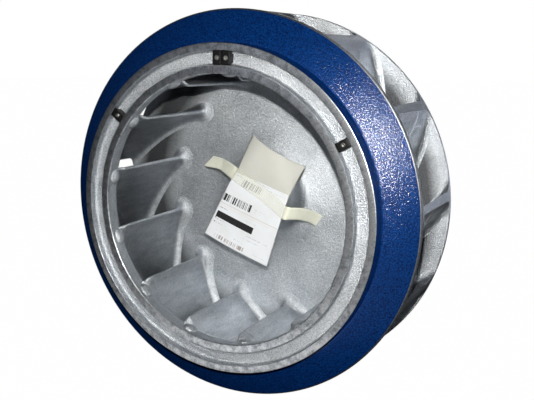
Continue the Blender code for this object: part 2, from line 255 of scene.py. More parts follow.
def machinedAluminium():
    # Turned aluminium: bright, with faint rings from the tool and mottled oxide stains
    settings = machinedFinish
    material, tree, shader = startMaterial("turnedAluminium", {"Metallic": 1.0})
    where = addNode(tree, "ShaderNodeTexCoord").outputs["Object"]
    stain = noise(tree, where, settings["stainSize"], 8.0, 0.8)
    colour = tones(tree, stain, (0.38, settings["dark"]), (0.58, settings["light"]))
    low, high = settings["roughness"]
    tree.links.new(colour, shader.inputs["Base Color"])
    tree.links.new(ramp(tree, stain, 0.35, 0.65, high, low), shader.inputs["Roughness"])
    # The rings' height is the sine of the radius times a full turn for each pitch
    turns = 2.0 * math.pi * perMetre(settings["ringPitch"])
    phase = calculate(tree, "MULTIPLY", axisRadius(tree, where), turns)
    rings = calculate(tree, "SINE", phase)
    addBump(tree, shader, rings, settings["ringDepth"])
    return material


enamelFinish = {
    "deep": "#021644",
    "light": "#063878",
    "sheen": "#a8d8ff",
    "peelSize": 1.8,           # mm, the pebbled orange peel of a thick coat
    "fineSize": 1.0,           # mm
    "fineShare": 0.3,
    "peelDepth": 0.00062,
    "metallic": 0.28,
    "roughness": 0.45,
    "specular": 0.12,
    "coat": 0.74,
    "coatRoughness": 0.17,
}


def blueEnamel():
    # Thick blue enamel over a cast skin: a blue sheen below, and glossy orange peel on top whose
    # bumps each catch the light
    settings = enamelFinish
    material, tree, shader = startMaterial("blueEnamel", {
        "Roughness": settings["roughness"], "Metallic": settings["metallic"], "IOR": 1.5,
        "Specular IOR Level": settings["specular"], "Specular Tint": hexColour(settings["sheen"]),
        "Coat Weight": settings["coat"], "Coat Roughness": settings["coatRoughness"]})
    where = addNode(tree, "ShaderNodeTexCoord").outputs["Object"]
    peel = noise(tree, where, settings["peelSize"], 2.0)
    fine = noise(tree, where, settings["fineSize"], 1.0)
    height = mixValues(tree, settings["fineShare"], peel, fine)
    colour = tones(tree, height, (0.38, settings["deep"]), (0.62, settings["light"]))
    tree.links.new(colour, shader.inputs["Base Color"])
    addBump(tree, shader, height, settings["peelDepth"], "Coat Normal")
    return material


def plainMetal(name, dark, light, grainSize, roughness, metallic, depth):
    # A metal with a fine even grain: two tones, a spread of roughness and a slight bump
    material, tree, shader = startMaterial(name, {"Metallic": metallic})
    where = addNode(tree, "ShaderNodeTexCoord").outputs["Object"]
    grain = noise(tree, where, grainSize, 4.0, 0.65)
    tree.links.new(tones(tree, grain, (0.4, dark), (0.62, light)), shader.inputs["Base Color"])
    tree.links.new(ramp(tree, grain, 0.35, 0.65, *roughness), shader.inputs["Roughness"])
    addBump(tree, shader, grain, depth)
    return material


paperFinish = {
    "backing": "#c6c7c1",
    "form": "#e4e8ee",
    "shade": "#a9a594",
    "shadeWeight": 0.16,
    "shadeSize": 26.0,         # mm, soft cockling
    "fibreSize": 0.9,          # mm
    "fibreDepth": 0.00004,
    "roughness": 0.82,
    "barSteps": 1.6,           # steps for each bar counted in a row, each dark or blank by chance
    "barBlank": 0.46,          # share of the steps left blank
}

# Printed rows of the form in shares of the sheet: left, right, top, bottom, ink, then the
# number of bars across it, or zero for a plain block
printRows = [
    (0.36, 0.66, 0.366, 0.372, "#b9bdd0", 26),
    (0.66, 0.97, 0.386, 0.392, "#b9bdd0", 26),
    (0.02, 0.16, 0.392, 0.398, "#c4c7d6", 10),
    (0.20, 0.54, 0.398, 0.460, "#7f828c", 26),
    (0.02, 0.503, 0.575, 0.640, "#1c1c1f", 46),
    (0.56, 0.74, 0.596, 0.603, "#c3c6d0", 18),
    (0.56, 0.70, 0.618, 0.625, "#cfd2da", 14),
    (0.01, 0.99, 0.664, 0.669, "#cac4ba", 0),
    (0.01, 0.99, 0.686, 0.689, "#ddd5cb", 0),
    (0.035, 0.215, 0.706, 0.713, "#9a9ca6", 13),
    (0.46, 0.66, 0.716, 0.723, "#c6c8d2", 14),
    (0.035, 0.65, 0.747, 0.806, "#141416", 0),
    (0.04, 0.055, 0.808, 0.820, "#3a3a40", 0),
    (0.07, 0.22, 0.818, 0.824, "#b4b6bf", 10),
    (0.05, 0.065, 0.846, 0.858, "#3a3a40", 0),
    (0.09, 0.24, 0.850, 0.856, "#b4b6bf", 10),
    (0.59, 0.94, 0.834, 0.840, "#b9bcc8", 26),
    (0.55, 0.80, 0.866, 0.872, "#c3c6d0", 18),
    (0.118, 0.225, 0.911, 0.917, "#bdbfc9", 9),
    (0.415, 0.58, 0.909, 0.915, "#b4b6bf", 10),
    (0.145, 0.62, 0.945, 0.979, "#a39b98", 40),
    (0.675, 0.98, 0.958, 0.963, "#cfd2da", 18),
]


def printedPaper(name, ground, rows):
    # Uncoated office paper: matt, faintly fibrous and cockled; its rows are blank rules and bars
    settings = paperFinish
    material, tree, shader = startMaterial(name, {"Roughness": settings["roughness"]})
    where = addNode(tree, "ShaderNodeTexCoord")
    fibre = noise(tree, where.outputs["Object"], settings["fibreSize"], 3.0)
    cockle = noise(tree, where.outputs["Object"], settings["shadeSize"], 2.0)
    shading = ramp(tree, cockle, 0.3, 0.7, 0.0, settings["shadeWeight"])
    colour = mixColours(tree, shading, hexColour(ground), hexColour(settings["shade"]))
    place = addNode(tree, "ShaderNodeSeparateXYZ", {0: where.outputs["UV"]}).outputs
    for left, right, top, bottom, ink, bars in rows:
        # Inside the row both distances from its middle are less than half its size
        inside = calculate(tree, "COMPARE", place["X"], (left + right) / 2.0, (right - left) / 2.0)
        level = calculate(tree, "COMPARE", place["Y"], (top + bottom) / 2.0, (bottom - top) / 2.0)
        mask = calculate(tree, "MULTIPLY", inside, level)
        if bars:
            density = bars * settings["barSteps"] / (right - left)
            step = calculate(tree, "FLOOR", calculate(tree, "MULTIPLY", place["X"], density))
            chance = addNode(tree, "ShaderNodeTexWhiteNoise", {"W": step}, noise_dimensions="1D")
            dark = calculate(tree, "GREATER_THAN", chance.outputs["Value"], settings["barBlank"])
            mask = calculate(tree, "MULTIPLY", mask, dark)
        colour = mixColours(tree, mask, colour, hexColour(ink))
    tree.links.new(colour, shader.inputs["Base Color"])
    addBump(tree, shader, fibre, settings["fibreDepth"])
    return material


tapeFinish = {
    "colour": "#fafbea",
    "shade": "#f1f3e2",
    "crepePitch": 1.3,         # mm between the crepe's ridges, which run across the strip
    "crepeLength": 9.0,        # mm
    "crepeDepth": 0.00004,
    "roughness": 0.55,
    "opacity": (0.19, 0.97),   # where it is stuck to the paper, and at the loose ends
    "stuck": (0.125, 0.043, 0.048),    # m along the strip: middle, and half lengths of the change
}


def crepeTape():
    # Pale crepe paper tape: stuck down it goes clear and lets the print through, loose it is milky
    settings = tapeFinish
    material, tree, shader = startMaterial("crepeTape", {"Roughness": settings["roughness"]})
    where = addNode(tree, "ShaderNodeTexCoord")
    pitch = (perMetre(settings["crepePitch"]), perMetre(settings["crepeLength"]), 1.0)
    stretched = addNode(tree, "ShaderNodeMapping", {"Vector": where.outputs["UV"], "Scale": pitch})
    crepe = addNode(tree, "ShaderNodeTexNoise", {
        "Vector": stretched.outputs[0], "Scale": 1.0, "Detail": 3.0}).outputs[0]
    colour = tones(tree, crepe, (0.35, settings["shade"]), (0.6, settings["colour"]))
    tree.links.new(colour, shader.inputs["Base Color"])
    along = addNode(tree, "ShaderNodeSeparateXYZ", {0: where.outputs["UV"]}).outputs["X"]
    middle, near, far = settings["stuck"]
    apart = calculate(tree, "ABSOLUTE", calculate(tree, "SUBTRACT", along, middle))
    tree.links.new(ramp(tree, apart, near, far, *settings["opacity"]), shader.inputs["Alpha"])
    addBump(tree, shader, crepe, settings["crepeDepth"])
    return material


# Turned steel is dull and mid grey, blackened steel nearly black and matt, zinc plate pale and
# glossy, and freshly cut aluminium almost white
finishes = {
    "cast": castAluminium("sandCastAluminium", castFinish),
    "blade": castAluminium("bladeCastAluminium", bladeFinish),
    "fillet": castAluminium("filletCastAluminium", filletFinish),
    "groove": castAluminium("speckledGrooveAluminium", grooveFinish),
    "machined": machinedAluminium(),
    "enamel": blueEnamel(),
    "steel": plainMetal("turnedSteel", "#6c6e71", "#a3a5a8", 1.2, (0.45, 0.30), 1.0, 0.00001),
    "black": plainMetal("blackenedSteel", "#08080a", "#161619", 1.5, (0.60, 0.42), 0.4, 0.00003),
    "zinc": plainMetal("zincPlatedSteel", "#a9aaa4", "#e4e4de", 0.9, (0.34, 0.22), 1.0, 0.00001),
    "scratched": plainMetal("freshCutAluminium", "#d2d4d6", "#f4f5f6", 0.8, (0.40, 0.25), 1.0, 0.00001),
    "backing": printedPaper("creamPaper", paperFinish["backing"], []),
    "form": printedPaper("whiteFormPaper", paperFinish["form"], printRows),
    "tape": crepeTape(),
}
print("materials made:", len(finishes))


def gridObject(name, points, surfaces, rowFinish=None, wrapRows=False, wrapColumns=False, uv=None,
               solid=True, sharpAngle=32.0):
    # A grid of points (rows, columns, 3) becomes quads, each joined to the next row and column.
    # A wrapped direction joins its last line to its first. Coincident points are merged, and a
    # solid's faces are turned to point outwards.
    rows, columns = points.shape[:2]
    index = np.arange(rows * columns).reshape(rows, columns)
    if wrapRows:
        index = np.concatenate((index, index[:1]), axis=0)
    if wrapColumns:
        index = np.concatenate((index, index[:, :1]), axis=1)
    quads = np.stack((index[:-1, :-1], index[:-1, 1:], index[1:, 1:], index[1:, :-1]), axis=-1)
    mesh = bpy.data.meshes.new(name)
    mesh.from_pydata(points.reshape(-1, 3), [], quads.reshape(-1, 4))
    if rowFinish is not None:
        mesh.polygons.foreach_set("material_index", np.repeat(rowFinish, quads.shape[1]).astype(np.int32))
    if uv is not None:
        layer = mesh.uv_layers.new(name="surface")
        layer.data.foreach_set("uv", uv.reshape(-1, 2)[quads.reshape(-1)].ravel())
    for surface in surfaces:
        mesh.materials.append(finishes[surface])
    if solid:
        shape = bmesh.new()
        shape.from_mesh(mesh)
        bmesh.ops.remove_doubles(shape, verts=shape.verts, dist=0.000001)
        bmesh.ops.recalc_face_normals(shape, faces=shape.faces)
        shape.to_mesh(mesh)
        shape.free()
    mesh.shade_smooth()
    mesh.set_sharp_from_angle(angle=math.radians(sharpAngle))
    piece = bpy.data.objects.new(name, mesh)
    bpy.context.scene.collection.objects.link(piece)
    return piece


def fit(piece, slotName, *nodes):
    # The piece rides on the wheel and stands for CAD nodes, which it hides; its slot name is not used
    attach(piece, "root")
    if nodes:
        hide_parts(*nodes)


def roundedOutline(corners, arcSteps=7):
    # A closed outline of corners (radius, height, rounding, finish). Each corner is cut back by
    # rounding / tan(half its angle) along both edges, and an arc tangent to both joins the cuts.
    # The finish is that of the edge after the corner.
    points = []
    marks = []
    count = len(corners)
    for i, (radius, height, rounding, finish) in enumerate(corners):
        corner = np.array((radius, height))
        toBefore = np.array(corners[i - 1][:2]) - corner
        toAfter = np.array(corners[(i + 1) % count][:2]) - corner
        toBefore /= np.linalg.norm(toBefore)
        toAfter /= np.linalg.norm(toAfter)
        half = math.acos(np.clip(toBefore @ toAfter, -1.0, 1.0)) / 2.0
        if rounding == 0.0 or half > math.radians(89.0):
            points.append(corner[None])
            marks += [finish]
            continue
        middle = toBefore + toAfter
        centre = corner + middle / np.linalg.norm(middle) * rounding / math.sin(half)
        start = corner + toBefore * rounding / math.tan(half) - centre
        end = corner + toAfter * rounding / math.tan(half) - centre
        share = np.linspace(0.0, 1.0, arcSteps)[:, None]
        spread = math.pi - 2.0 * half
        arc = (np.sin((1.0 - share) * spread) * start + np.sin(share * spread) * end) / math.sin(spread)
        points.append(centre + arc)
        marks += [finish] * arcSteps
    return np.concatenate(points), np.array(marks)


def turnedObject(name, outline, marks, surfaces, steps):
    # The outline is turned about the axis: every point keeps its radius and height
    angle = np.linspace(0.0, 2.0 * np.pi, steps, endpoint=False)[None, :]
    points = polarToFrame(outline[:, :1], angle, outline[:, 1:])
    return gridObject(name, points, surfaces, rowFinish=marks, wrapRows=True, wrapColumns=True)


shroudShape = {
    "wall": 0.0052,
    "footHeight": 0.0187,
    "footRadius": 0.2105,
    "boreRadius": 0.2084,
    "bulge": 0.12,                     # share by which the slope stands proud of a straight one
    "rimChamfer": 0.0007,
    "bareEdge": 0.0011,                # bare metal where the enamel stops short of the rim
    "slopeSteps": 24,
}


def shroudTop(radius):
    # Slope from the foot to the rim, bulged: foot * (1 - p) * (1 + bulge * p), p the share outwards
    shape = shroudShape
    part = (radius - shape["footRadius"]) / (wheel["outerRadius"] - shape["footRadius"])
    part = np.clip(part, 0.0, 1.0)
    return shape["footHeight"] * (1.0 - part) * (1.0 + shape["bulge"] * part)


def makeShroud():
    shape = shroudShape
    rim = wheel["outerRadius"]
    chamfer = shape["rimChamfer"]
    slope = np.linspace(shape["boreRadius"], rim - chamfer - shape["bareEdge"], shape["slopeSteps"])
    slope = np.append(slope, rim - chamfer)
    top = np.stack((slope, shroudTop(slope)), axis=1)
    under = np.stack((slope[::-1], shroudTop(slope[::-1]) - shape["wall"]), axis=1)
    lip = shroudTop(rim - chamfer)
    band = np.array(((rim, lip - chamfer), (rim, chamfer / 2.0 - shape["wall"])))
    outline = np.concatenate((top, band, under))
    marks = np.concatenate((
        np.full(len(top) - 2, 0), np.full(4, 1), np.full(len(under), 2)))
    shroud = turnedObject("shroud_skin", outline, marks, ["enamel", "machined", "cast"], wheel["turnSteps"])
    fit(shroud, "blue_enamel", "shroud")


ringShape = {
    "throatRadius": 0.1707,
    "grooveInner": 0.1809,
    "grooveOuter": 0.1989,
    "grooveDepth": 0.0100,
    "grooveFillet": 0.0034,
    "outerRadius": 0.2081,
    "edge": 0.0004,
    "bareEdge": 0.0007,                # bare metal below the face before the enamel starts
    "faceDrop": 0.00005,               # keeps the face just below the scribed marks' raised burrs
    "throatEdge": 0.0012,
    "lipHeight": 0.0225,
    "lipWidth": 0.0040,
    "lipShare": 0.6,                   # rounding of the lip's foot as a share of its width
    "footFillet": 0.0030,
    "footShare": 0.9,                  # rounding at the foot as a share of the fillet's reach
    "footLift": 0.0002,                # the foot's corner stands this much over the slope
    "flareDrop": 0.0003,               # the fillet's end dips this much under it
}


def makeInletRing():
    shape = ringShape
    face = wheel["frontHeight"] - shape["faceDrop"]
    floor = face - shape["grooveDepth"]
    foot = shroudTop(shape["outerRadius"]) - shroudShape["wall"]
    throat = shape["throatRadius"]
    outer = shape["outerRadius"]
    flare = outer + shape["footFillet"]
    edge = shape["edge"]
    machined, enamel, cast, groove = 0, 1, 2, 3
    corners = [
        (throat, face, shape["throatEdge"], machined),
        (shape["grooveInner"], face, edge, groove),
        (shape["grooveInner"], floor, shape["grooveFillet"], groove),
        (shape["grooveOuter"], floor, shape["grooveFillet"], groove),
        (shape["grooveOuter"], face, edge, machined),
        (outer, face, 2.0 * edge, machined),
        (outer, face - shape["bareEdge"], 0.0, enamel),
        (outer, shroudTop(outer) + shape["footLift"], shape["footFillet"] * shape["footShare"], enamel),
        (flare, shroudTop(flare) - shape["flareDrop"], 0.0, enamel),
        (outer, foot, 0.0, cast),
        (throat + shape["lipWidth"], foot, shape["lipWidth"] * shape["lipShare"], cast),
        (throat, shape["lipHeight"], shape["lipWidth"], cast),
    ]
    outline, marks = roundedOutline(corners)
    surfaces = ["machined", "enamel", "cast", "groove"]
    ring = turnedObject("inlet_ring_skin", outline, marks, surfaces, wheel["turnSteps"])
    fit(ring, "machined_aluminium", "inlet_ring")


plateShape = {
    "rimFront": -0.1236,
    "rimThickness": 0.0062,
    "floor": -0.1285,
    "floorRadius": 0.160,
    "thickness": 0.0060,
    "boreRadius": 0.0302,
    "bossFront": -0.0670,
    "bossRadius": 0.044,
    "bossFootRadius": 0.0465,
    "bossEdge": 0.0035,
    "bossFillet": 0.0160,              # rounding between the boss and the mound
    "moundRadius": 0.115,
    "moundTopRadius": 0.058,
    "moundRise": 0.0085,
    "moundSteps": 20,
    "bossBack": -0.1540,
    "bossBackRadius": 0.046,
    "bossBackFoot": 0.058,
    "bossBackFillet": 0.006,
    "floorRounding": 0.060,            # of both faces, where the floor starts to rise to the rim
    "edge": 0.0010,
}


def plateFront(radius):
    # A mound that falls with the square of the share left to its foot, then the flat floor,
    # then a straight rise to the rim
    shape = plateShape
    part = (radius - shape["floorRadius"]) / (wheel["outerRadius"] - shape["floorRadius"])
    left = (shape["moundRadius"] - radius) / (shape["moundRadius"] - shape["moundTopRadius"])
    return (shape["floor"] + (shape["rimFront"] - shape["floor"]) * np.maximum(part, 0.0)
            + shape["moundRise"] * np.maximum(left, 0.0) ** 2)


def makeBackPlate():
    shape = plateShape
    rim = wheel["outerRadius"]
    rimBack = shape["rimFront"] - shape["rimThickness"]
    floorBack = shape["floor"] - shape["thickness"]
    bore = shape["boreRadius"]
    edge = shape["edge"]
    mound = np.linspace(shape["moundTopRadius"], shape["moundRadius"], shape["moundSteps"])
    slope = 2.0 * shape["moundRise"] / (shape["moundRadius"] - shape["moundTopRadius"])
    bossFoot = plateFront(mound[0]) + slope * (mound[0] - shape["bossFootRadius"])
    corners = [
        (bore, shape["bossFront"], edge / 2.0, 0),
        (shape["bossRadius"], shape["bossFront"], shape["bossEdge"], 0),
        (shape["bossFootRadius"], bossFoot, shape["bossFillet"], 0),
        *[(radius, plateFront(radius), 0.0, 0) for radius in mound],
        (shape["floorRadius"], shape["floor"], shape["floorRounding"], 0),
        (rim, shape["rimFront"], edge, 0),
        (rim, rimBack, edge, 0),
        (shape["floorRadius"], floorBack, shape["floorRounding"], 0),
        (shape["bossBackFoot"], floorBack, shape["bossBackFillet"], 0),
        (shape["bossBackRadius"], shape["bossBack"], edge * 2.0, 0),
        (bore, shape["bossBack"], edge / 2.0, 0),
    ]
    outline, marks = roundedOutline(corners, arcSteps=9)
    plate = turnedObject("back_plate_skin", outline, marks, ["cast"], wheel["turnSteps"])
    fit(plate, "cast_aluminium", "back_plate")


hubShape = {
    "radius": 0.030,
    "front": -0.0655,
    "back": -0.1560,
    "chamfer": 0.0010,
    "boreRadius": 0.019,
    "keyHalfWidth": 0.005,
    "keyDepth": 0.0033,
    "keyEdge": 0.0005,                 # radians from the bore's edge to the keyway's first point
    "steps": 144,
}


def makeHubBush():
    # Rows run round the bush's section; the bore's radius widens to half width / cos(angle)
    # and depth / sin(angle) inside the keyway, which is at the top
    shape = hubShape
    reach = shape["boreRadius"] + shape["keyDepth"]
    half = shape["keyHalfWidth"]
    corner = math.atan2(reach, half)
    mouth = math.acos(half / shape["boreRadius"])
    inset = mouth + shape["keyEdge"]
    keyAngles = (mouth, inset, corner, math.pi - corner, math.pi - inset, math.pi - mouth)
    angle = np.sort(np.concatenate((
        np.linspace(0.0, 2.0 * np.pi, shape["steps"], endpoint=False), keyAngles)))
    side = np.clip(half / np.maximum(np.abs(np.cos(angle)), 0.000001), 0.0, 1.0)
    roof = reach / np.maximum(np.sin(angle), 0.000001)
    inKey = (angle > mouth) & (angle < math.pi - mouth)
    bore = np.where(inKey, np.minimum(side, roof), shape["boreRadius"])
    chamfer = shape["chamfer"]
    front, back, radius = shape["front"], shape["back"], shape["radius"]
    radii = [bore + chamfer / 2.0, radius - chamfer, radius, radius, radius - chamfer,
             bore + chamfer / 2.0, bore, bore]
    heights = [front, front, front - chamfer, back + chamfer, back,
               back, back + chamfer / 2.0, front - chamfer / 2.0]
    radii = np.stack([np.broadcast_to(row, angle.shape) for row in radii])
    points = polarToFrame(radii, angle[None, :], np.array(heights)[:, None])
    bush = gridObject("hub_bush_skin", points, ["steel"], wrapRows=True, wrapColumns=True)
    fit(bush, "turned_steel", "hub_bush")


bladeShape = {
    "angle": 36.0,                     # degrees between the camber line and the circle
    "footRadius": 0.1640,
    "nosePlate": 0.0055,               # thicknesses at the plate and under the shroud
    "noseShroud": 0.0042,
    "tipPlate": 0.0079,
    "tipShroud": 0.0052,
    "plateFillet": 0.0105,
    "noseFillet": 0.0050,              # extra fillet round the foot of the nose
    "noseDecay": 0.10,                 # share of the blade's run over which that dies away
    "shroudFillet": 0.0060,
    "shroudDecay": 0.08,               # share of the run over which that comes in behind the nose
    "climbStart": 0.162,               # radius at which the top starts to climb
    "rampFoot": 0.0180,                # where the nose's top leaves it for the throat wall
    "rampRise": 0.0090,
    "hiddenRun": 0.0090,
    "flare": 0.0068,                   # how far the top of the nose leans out, to the throat wall
    "flareHeights": (0.0110, 0.0225),
    "flareTurn": 2.6,                  # degrees it leans back by, so that it looks straight
    "flareDecay": 0.12,                # share of the run over which that turn dies away
    "crown": 0.0012,                   # how far the hidden upper end is domed
    "partingWidth": 0.0009,
    "partingProud": 0.00030,
    "partingTip": -0.088,              # height of the parting line at the tips
    "partingStart": 0.190,             # radius at which it leaves the height of zero
    "sideSteps": 44,
    "sideCrowding": 1.15,              # power that sets the columns closer towards the nose
    "noseSteps": 14,
    "tipSteps": 4,
}


def bladeThickness(radius, height):
    # Linear along the blade and up it, thinner towards the shroud
    shape = bladeShape
    along = (radius - shape["footRadius"]) / (wheel["outerRadius"] - shape["footRadius"])
    up = (height - plateShape["floor"]) / (shroudShape["footHeight"] - plateShape["floor"])
    nose = shape["nosePlate"] + (shape["noseShroud"] - shape["nosePlate"]) * up
    tip = shape["tipPlate"] + (shape["tipShroud"] - shape["tipPlate"]) * up
    return nose + (tip - nose) * along


def filletSpread(distance, fillet):
    # Sideways reach of a round fillet: fillet - sqrt(fillet^2 - (fillet - distance)^2)
    depth = np.clip(1.0 - distance / fillet, 0.0, 1.0)
    return fillet * (1.0 - np.sqrt(1.0 - depth ** 2))


def smoothStep(value):
    value = np.clip(value, 0.0, 1.0)
    return value * value * (3.0 - 2.0 * value)


def bladeCeiling(radius):
    # Under the eye a parabola climbs to the throat wall; further out the shroud's underside
    shape = bladeShape
    throat = ringShape["throatRadius"]
    climb = np.clip((radius - shape["climbStart"]) / (throat - shape["climbStart"]), 0.0, 1.0) ** 2
    under = shroudTop(radius) - shroudShape["wall"]
    top = shape["rampFoot"] + shape["rampRise"] * climb
    return top + (under - top) * smoothStep((radius - throat) / shape["hiddenRun"])


def makeBlade(number):
    # Columns run round the section: the inner side from tip to nose, a half circle round the
    # nose, the outer side back to the tip and the tip's arc. The camber line's angle is
    # log(radius / foot radius) / tan(blade angle), and each side stands off it by half the
    # thickness over (radius * sin(blade angle)). Rows climb from the plate to the shroud.
    shape = bladeShape
    beta = math.radians(shape["angle"])
    foot = math.radians(wheel["firstBlade"] + (number - 1) * 360.0 / wheel["blades"])
    rim = wheel["outerRadius"]

    run = np.linspace(0.0, 1.0, shape["sideSteps"]) ** shape["sideCrowding"]
    bend = np.linspace(-90.0, 90.0, shape["noseSteps"])[1:-1]
    across = np.linspace(1.0, -1.0, shape["tipSteps"] + 2)[1:-1]
    flat, nose, tip = np.zeros(len(run)), np.zeros(len(bend)), np.ones(len(across))
    share = np.concatenate((run[::-1], nose, run, tip))[None, :]
    side = np.concatenate((flat - 1.0, nose, flat + 1.0, across))[None, :]
    turn = np.concatenate((flat, np.radians(bend), flat, tip * 0.0))[None, :]
    onNose = np.concatenate((flat, nose + 1.0, flat, tip * 0.0))[None, :] > 0.5

    start = shape["footRadius"] + shape["nosePlate"] / 2.0 * math.sin(beta)
    nearRadius = np.where(onNose, shape["footRadius"], start + share * (rim - start))
    bottom = plateFront(nearRadius)
    ceiling = bladeCeiling(nearRadius)
    parting = shape["partingTip"] * smoothStep(
        (nearRadius - shape["partingStart"]) / (rim - shape["partingStart"]))
    plateFillet = shape["plateFillet"] + shape["noseFillet"] * np.exp(-(share / shape["noseDecay"]) ** 2)
    shroudFillet = shape["shroudFillet"]
    width = shape["partingWidth"]

    low = np.array((-0.08, 0.0, 0.03, 0.08, 0.15, 0.24, 0.35, 0.5, 0.7, 1.0))[:, None]
    middle = np.linspace(0.0, 1.0, 8)[1:-1, None]
    ridge = np.array((-1.0, -0.55, -0.2, 0.2, 0.55, 1.0))[:, None]
    heights = np.concatenate((
        bottom + plateFillet * low,
        bottom + plateFillet + (parting - width - bottom - plateFillet) * middle,
        parting + width * ridge,
        parting + width + (ceiling - shroudFillet - parting - width) * middle,
        ceiling - shroudFillet * low[::-1]))
    proud = np.concatenate((
        np.zeros(len(low) + len(middle)), shape["partingProud"] * (1.0 - ridge[:, 0] ** 2),
        np.zeros(len(middle) + len(low))))[:, None]

    flareFoot, flareTop = shape["flareHeights"]
    flare = smoothStep((heights - flareFoot) / (flareTop - flareFoot))
    lean = np.radians(shape["flareTurn"]) * flare * np.exp(-(share / shape["flareDecay"]) ** 2)
    start = start + shape["flare"] * flare

    behindNose = 1.0 - np.exp(-(share / shape["shroudDecay"]) ** 2)
    spread = (filletSpread(heights - bottom, plateFillet)
              + filletSpread(ceiling - heights, shroudFillet) * behindNose)
    half = bladeThickness(nearRadius, heights) / 2.0 + spread + proud
    firstRadius = start - side * half * math.cos(beta)
    radius = np.where(onNose, start, firstRadius + share * (rim - firstRadius))
    camber = foot + np.log(radius / shape["footRadius"]) / math.tan(beta)
    angle = camber + side * half / (radius * math.sin(beta))

    alongX, alongY = math.sin(beta), math.cos(beta)
    outwards = -np.cos(turn) * alongX - np.sin(turn) * alongY
    onwards = -np.cos(turn) * alongY + np.sin(turn) * alongX
    noseX = start + half * outwards
    noseY = half * onwards
    noseRadius = np.hypot(noseX, noseY)
    noseAngle = foot + np.log(start / shape["footRadius"]) / math.tan(beta) + np.arctan2(noseY, noseX)
    radius = np.where(onNose, noseRadius, radius)
    angle = np.where(onNose, noseAngle, angle) - lean

    # Both ends close on the camber line, the upper one with a low crown: crown * (1 - share^2)
    camber = foot + np.log(radius / shape["footRadius"]) / math.tan(beta) - lean
    closing = np.array((0.86, 0.55, 0.0))[:, None]
    crown = shape["crown"] * (1.0 - closing ** 2)
    radius = np.concatenate((radius[:1], radius, np.repeat(radius[-1:], 3, axis=0)))
    endAngle = camber[-1:] + (angle[-1:] - camber[-1:]) * closing
    angle = np.concatenate((camber[:1], angle, endAngle))
    heights = np.concatenate((heights[:1], heights, heights[-1:] + crown))
    points = polarToFrame(radius, angle, heights)
    name = f"blade_{number:02d}"
    # The foot fillet's rows take the fillet's finish
    finish = np.zeros(len(points) - 1)
    finish[:len(low) + 1] = 1
    blade = gridObject(name + "_skin", points, ["blade", "fillet"], rowFinish=finish, wrapColumns=True)
    fit(blade, "cast_aluminium", name)


lugShape = {
    "height": 0.0240,                  # middle of the lug
    "radius": 0.1727,
    "turn": 1.6,                       # degrees past the camber line
    "round": 0.0112,                   # half lengths: round the eye, along the axis, inwards
    "along": 0.0090,
    "inwards": 0.0060,
    "steps": 28,
}


def makeLug(number):
    # Where a blade's top runs into the throat wall the casting swells: half lengths times the
    # cosines and sines of two angles, laid on the wall
    shape = lugShape
    u = np.linspace(0.0, 2.0 * np.pi, shape["steps"], endpoint=False)[None, :]
    v = np.linspace(-0.5 * np.pi, 0.5 * np.pi, shape["steps"] // 2 + 1)[:, None]
    beta = math.radians(bladeShape["angle"])
    foot = math.radians(wheel["firstBlade"] + shape["turn"] + (number - 1) * 360.0 / wheel["blades"])
    middle = foot + math.log(ringShape["throatRadius"] / bladeShape["footRadius"]) / math.tan(beta)
    angle = middle + shape["round"] * np.cos(v) * np.cos(u) / shape["radius"]
    height = shape["height"] + shape["along"] * np.cos(v) * np.sin(u)
    radius = shape["radius"] - shape["inwards"] * np.sin(v) * np.ones_like(u)
    points = polarToFrame(radius, angle, height)
    lug = gridObject(f"throat_lug_{number:02d}", points, ["fillet"], wrapColumns=True)
    fit(lug, "cast_aluminium")


makeShroud()
makeInletRing()
makeBackPlate()
makeHubBush()
print("turned pieces made")
for number in range(1, wheel["blades"] + 1):
    makeBlade(number)
    makeLug(number)
print("blades made")


weightShape = {
    "length": 0.0115,
    "gap": 0.0003,                     # to the groove's floor and walls
    "faceDrop": 0.0002,
    "edge": 0.0006,
    "taper": 0.0032,
    "holeGap": 0.0002,
    "holeChamfer": 0.0003,
    "holeFloor": 0.004,                # height of the hole's bottom over the weight's
    "screwRadius": 0.0030,
    "screwEdge": 0.0004,
    "screwDrop": 0.0004,
    "screwTurn": 0.3,                  # radians the socket is turned against the weight
    "socketReach": 0.0015,             # half the width across the socket's flats
    "socketDepth": 0.0022,
    "angles": {"top_left": 89.55, "top_right": 85.85, "left": 142.4, "right": 29.2},
    "steps": 96,
}


def roundedRectangle(halfWidth, halfLength, rounding, angle):
    # Superellipse-like box in polar form: the nearer of the two flat sides, with corners
    # rounded by joining them with a high power mean
    power = max(4.0, 1.6 * min(halfWidth, halfLength) / rounding)
    sides = np.abs(np.cos(angle) / halfWidth) ** power + np.abs(np.sin(angle) / halfLength) ** power
    return sides ** (-1.0 / power)


def polarSolid(name, radii, heights, angle, centre, turn, surface):
    # Rows of radii about a centre, each at a height, from a pole on top to a pole below
    x = radii * np.cos(angle)
    y = radii * np.sin(angle)
    wheelX = centre[0] + x * math.cos(turn) - y * math.sin(turn)
    wheelY = centre[1] + x * math.sin(turn) + y * math.cos(turn)
    points = toFrame(wheelX, wheelY, np.array(heights)[:, None])
    return gridObject(name, points, [surface], wrapColumns=True, sharpAngle=40.0)


